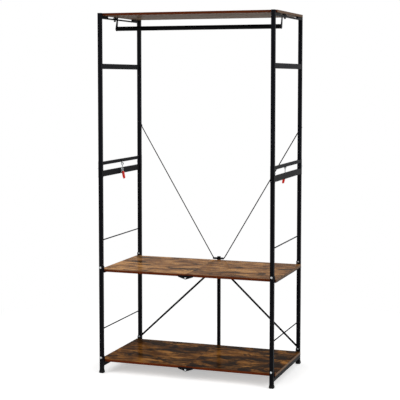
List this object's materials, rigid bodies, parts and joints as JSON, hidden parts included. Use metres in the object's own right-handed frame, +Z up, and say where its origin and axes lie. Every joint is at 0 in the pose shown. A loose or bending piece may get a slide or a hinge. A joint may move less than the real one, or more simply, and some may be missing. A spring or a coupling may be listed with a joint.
{
  "type": "folding clothes rack",
  "caption": "Folding clothes rack: black square-tube side frames, wood shelves that fold at the middle, a rail for hangers and toggle latches.",
  "frame": {"origin": "centre of the footprint, on the floor", "axes": "+X to the right as seen from the front, +Y to the rear where the linkage is, +Z up"},
  "size_m": [0.9124, 0.557, 1.79],
  "materials": {
    "black_steel": "black powder coat, satin",
    "bright_steel": "zinc plated, satin",
    "wood": "rustic brown laminate with dark red-brown edges",
    "black_plastic": "moulded, matt",
    "red_grip": "dipped soft vinyl"
  },
  "bodies": {
    "left_frame": {"lower_post_front_left": "black_steel", "lower_post_rear_left": "black_steel", "upper_post_front_left": "black_steel", "upper_post_rear_left": "black_steel", "foot_front_left": "black_plastic", "foot_rear_left": "black_plastic", "bottom_rail_left": "black_steel", "latch_bar_left": "black_steel", "keeper_bar_left": "black_steel", "crossbar_left": "black_steel", "top_rail_left": "black_steel", "side_rod_lower_left": "black_steel", "side_rod_upper_left": "black_steel", "latch_base_left": "bright_steel"},
    "right_frame": {"lower_post_front_right": "black_steel", "lower_post_rear_right": "black_steel", "upper_post_front_right": "black_steel", "upper_post_rear_right": "black_steel", "foot_front_right": "black_plastic", "foot_rear_right": "black_plastic", "bottom_rail_right": "black_steel", "latch_bar_right": "black_steel", "keeper_bar_right": "black_steel", "crossbar_right": "black_steel", "top_rail_right": "black_steel", "side_rod_lower_right": "black_steel", "side_rod_upper_right": "black_steel", "latch_base_right": "bright_steel"},
    "mid_left_half": {"mid_board_left": "wood", "mid_end_bracket_left": "black_steel", "mid_centre_bracket_left": "black_steel"},
    "mid_right_half": {"mid_board_right": "wood", "mid_end_bracket_right": "black_steel", "mid_centre_bracket_right": "black_steel"},
    "low_left_half": {"low_board_left": "wood", "low_end_bracket_left": "black_steel", "low_centre_bracket_left": "black_steel"},
    "low_right_half": {"low_board_right": "wood", "low_end_bracket_right": "black_steel", "low_centre_bracket_right": "black_steel"},
    "centre_post_body": {"centre_post": "black_steel"},
    "slider_body": {"slider": "black_steel"},
    "brace_left_body": {"brace_left": "black_steel"},
    "stay_left_body": {"stay_left": "black_steel"},
    "brace_right_body": {"brace_right": "black_steel"},
    "stay_right_body": {"stay_right": "black_steel"},
    "top_set": {"top_board": "wood", "hanging_rail": "black_steel"},
    "lever_left": {"latch_lever_left": "bright_steel", "latch_grip_left": "red_grip"},
    "bail_left": {"latch_bail_left": "bright_steel"},
    "button_front_left_body": {"button_front_left": "bright_steel"},
    "button_rear_left_body": {"button_rear_left": "bright_steel"},
    "knob_left_body": {"knob_left": "black_plastic"},
    "lever_right": {"latch_lever_right": "bright_steel", "latch_grip_right": "red_grip"},
    "bail_right": {"latch_bail_right": "bright_steel"},
    "button_front_right_body": {"button_front_right": "bright_steel"},
    "button_rear_right_body": {"button_rear_right": "bright_steel"},
    "knob_right_body": {"knob_right": "black_plastic"}
  },
  "joints": [
    {"name": "shelf_fold", "type": "hinge", "parent": "left_frame", "child": "mid_left_half", "pos_m": [-0.4405, -0.0093, 0.5325], "axis": [0, -1, 0], "range_deg": [0, 86]},
    {"name": "mid_centre_hinge", "type": "hinge", "parent": "mid_left_half", "child": "mid_right_half", "pos_m": [0, -0.0093, 0.502], "axis": [0, -1, 0], "range_deg": [-172, 0]},
    {"name": "right_frame_pivot", "type": "hinge", "parent": "mid_right_half", "child": "right_frame", "pos_m": [0.4405, -0.0093, 0.5325], "axis": [0, -1, 0], "range_deg": [0, 86]},
    {"name": "low_left_pivot", "type": "hinge", "parent": "left_frame", "child": "low_left_half", "pos_m": [-0.4405, -0.0093, 0.0785], "axis": [0, -1, 0], "range_deg": [0, 86]},
    {"name": "low_right_pivot", "type": "hinge", "parent": "right_frame", "child": "low_right_half", "pos_m": [0.4405, -0.0093, 0.0785], "axis": [0, -1, 0], "range_deg": [-86, 0]},
    {"name": "centre_post_pivot", "type": "hinge", "parent": "mid_left_half", "child": "centre_post_body", "pos_m": [0, 0.2687, 0.502], "axis": [0, -1, 0], "range_deg": [-86, 0]},
    {"name": "slider_slide", "type": "slide", "parent": "centre_post_body", "child": "slider_body", "axis": [0, 0, 1], "range_m": [-0.2805, 0]},
    {"name": "brace_left_pivot", "type": "hinge", "parent": "left_frame", "child": "brace_left_body", "pos_m": [-0.4405, 0.254, 0.0785], "axis": [0, -1, 0], "range_deg": [0, 41.1]},
    {"name": "brace_right_pivot", "type": "hinge", "parent": "right_frame", "child": "brace_right_body", "pos_m": [0.4405, 0.254, 0.0785], "axis": [0, -1, 0], "range_deg": [-41.1, 0]},
    {"name": "stay_left_pivot", "type": "hinge", "parent": "left_frame", "child": "stay_left_body", "pos_m": [-0.4405, 0.2687, 1.2205], "axis": [0, -1, 0], "range_deg": [-29.5, 0]},
    {"name": "stay_right_pivot", "type": "hinge", "parent": "right_frame", "child": "stay_right_body", "pos_m": [0.4405, 0.2687, 1.2205], "axis": [0, -1, 0], "range_deg": [0, 29.5]},
    {"name": "top_lift", "type": "slide", "parent": "left_frame", "child": "top_set", "axis": [0, 0, 1], "range_m": [0, 0.3005]},
    {"name": "latch_lever_left_pivot", "type": "hinge", "parent": "left_frame", "child": "lever_left", "pos_m": [-0.4325, -0.0093, 1.006], "axis": [0, -1, 0], "range_deg": [0, 80]},
    {"name": "latch_bail_left_pivot", "type": "hinge", "parent": "lever_left", "child": "bail_left", "pos_m": [-0.4325, -0.0093, 1.0005], "axis": [0, -1, 0], "range_deg": [-80, 0]},
    {"name": "button_front_left_push", "type": "slide", "parent": "left_frame", "child": "button_front_left_body", "axis": [1, 0, 0], "range_m": [0, 0.0055], "stiffness_N_per_m": 400},
    {"name": "button_rear_left_push", "type": "slide", "parent": "left_frame", "child": "button_rear_left_body", "axis": [1, 0, 0], "range_m": [0, 0.0055], "stiffness_N_per_m": 400},
    {"name": "knob_left_turn", "type": "hinge", "parent": "left_frame", "child": "knob_left_body", "pos_m": [-0.444, -0.0713, 1.763], "axis": [0, 0, 1], "continuous": true},
    {"name": "latch_lever_right_pivot", "type": "hinge", "parent": "right_frame", "child": "lever_right", "pos_m": [0.4325, -0.0093, 1.006], "axis": [0, 1, 0], "range_deg": [0, 80]},
    {"name": "latch_bail_right_pivot", "type": "hinge", "parent": "lever_right", "child": "bail_right", "pos_m": [0.4325, -0.0093, 1.0005], "axis": [0, 1, 0], "range_deg": [-80, 0]},
    {"name": "button_front_right_push", "type": "slide", "parent": "right_frame", "child": "button_front_right_body", "axis": [-1, 0, 0], "range_m": [0, 0.0055], "stiffness_N_per_m": 400},
    {"name": "button_rear_right_push", "type": "slide", "parent": "right_frame", "child": "button_rear_right_body", "axis": [-1, 0, 0], "range_m": [0, 0.0055], "stiffness_N_per_m": 400},
    {"name": "knob_right_turn", "type": "hinge", "parent": "right_frame", "child": "knob_right_body", "pos_m": [0.444, -0.0713, 1.763], "axis": [0, 0, 1], "continuous": true}
  ],
  "couplings": [
    {"joint": "mid_centre_hinge", "follows": "shelf_fold", "ratio": -2},
    {"joint": "right_frame_pivot", "follows": "shelf_fold", "ratio": 1},
    {"joint": "low_left_pivot", "follows": "shelf_fold", "ratio": 1},
    {"joint": "low_right_pivot", "follows": "shelf_fold", "ratio": -1},
    {"joint": "centre_post_pivot", "follows": "shelf_fold", "ratio": -1},
    {"joint": "slider_slide", "follows": "shelf_fold", "m_per_rad": -0.18649},
    {"joint": "brace_left_pivot", "follows": "shelf_fold", "ratio": 0.47749},
    {"joint": "brace_right_pivot", "follows": "shelf_fold", "ratio": -0.47749},
    {"joint": "stay_left_pivot", "follows": "shelf_fold", "ratio": -0.34178},
    {"joint": "stay_right_pivot", "follows": "shelf_fold", "ratio": 0.34178},
    {"joint": "top_lift", "follows": "shelf_fold", "m_per_rad": 0.2},
    {"joint": "latch_bail_left_pivot", "follows": "latch_lever_left_pivot", "ratio": -1},
    {"joint": "latch_bail_right_pivot", "follows": "latch_lever_right_pivot", "ratio": -1}
  ]
}
